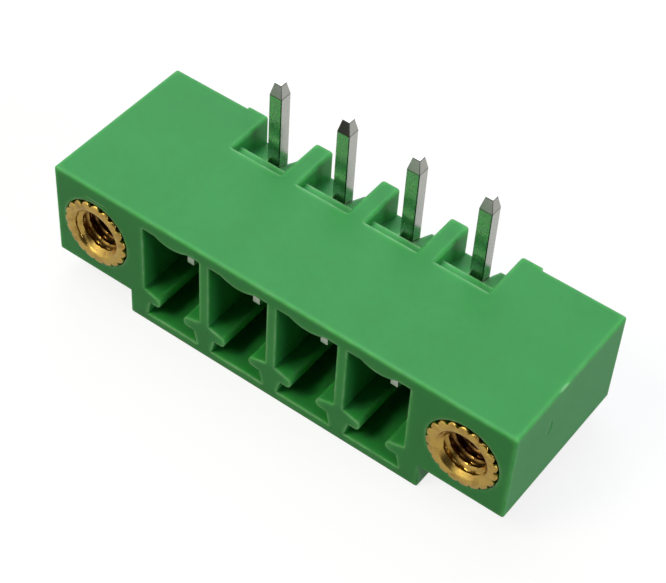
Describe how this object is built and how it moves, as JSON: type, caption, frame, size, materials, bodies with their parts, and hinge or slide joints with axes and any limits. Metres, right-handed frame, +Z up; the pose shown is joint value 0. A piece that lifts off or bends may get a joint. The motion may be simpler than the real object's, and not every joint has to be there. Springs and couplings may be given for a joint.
{
  "type": "pluggable terminal block header",
  "caption": "Right-angle board header for a pluggable terminal block: moulded housing with open cavities, bent square pins and a threaded brass insert in each end flange.",
  "frame": {"origin": "middle of the bounding box's bottom, on the surface that the header rests on", "axes": "+X along the row of pins, +Z up along the solder tails, -Y out of the mating face"},
  "size_m": [0.0252, 0.009, 0.0105],
  "materials": {
    "housing": "moulded green polyamide, satin",
    "contact": "tin-plated copper alloy wire",
    "insert": "turned and knurled, bare"
  },
  "bodies": {
    "root": {"housing": "housing", "contact_pin_1": "contact", "contact_pin_2": "contact", "contact_pin_3": "contact", "contact_pin_4": "contact", "threaded_insert_left": "insert", "threaded_insert_right": "insert"}
  },
  "joints": []
}
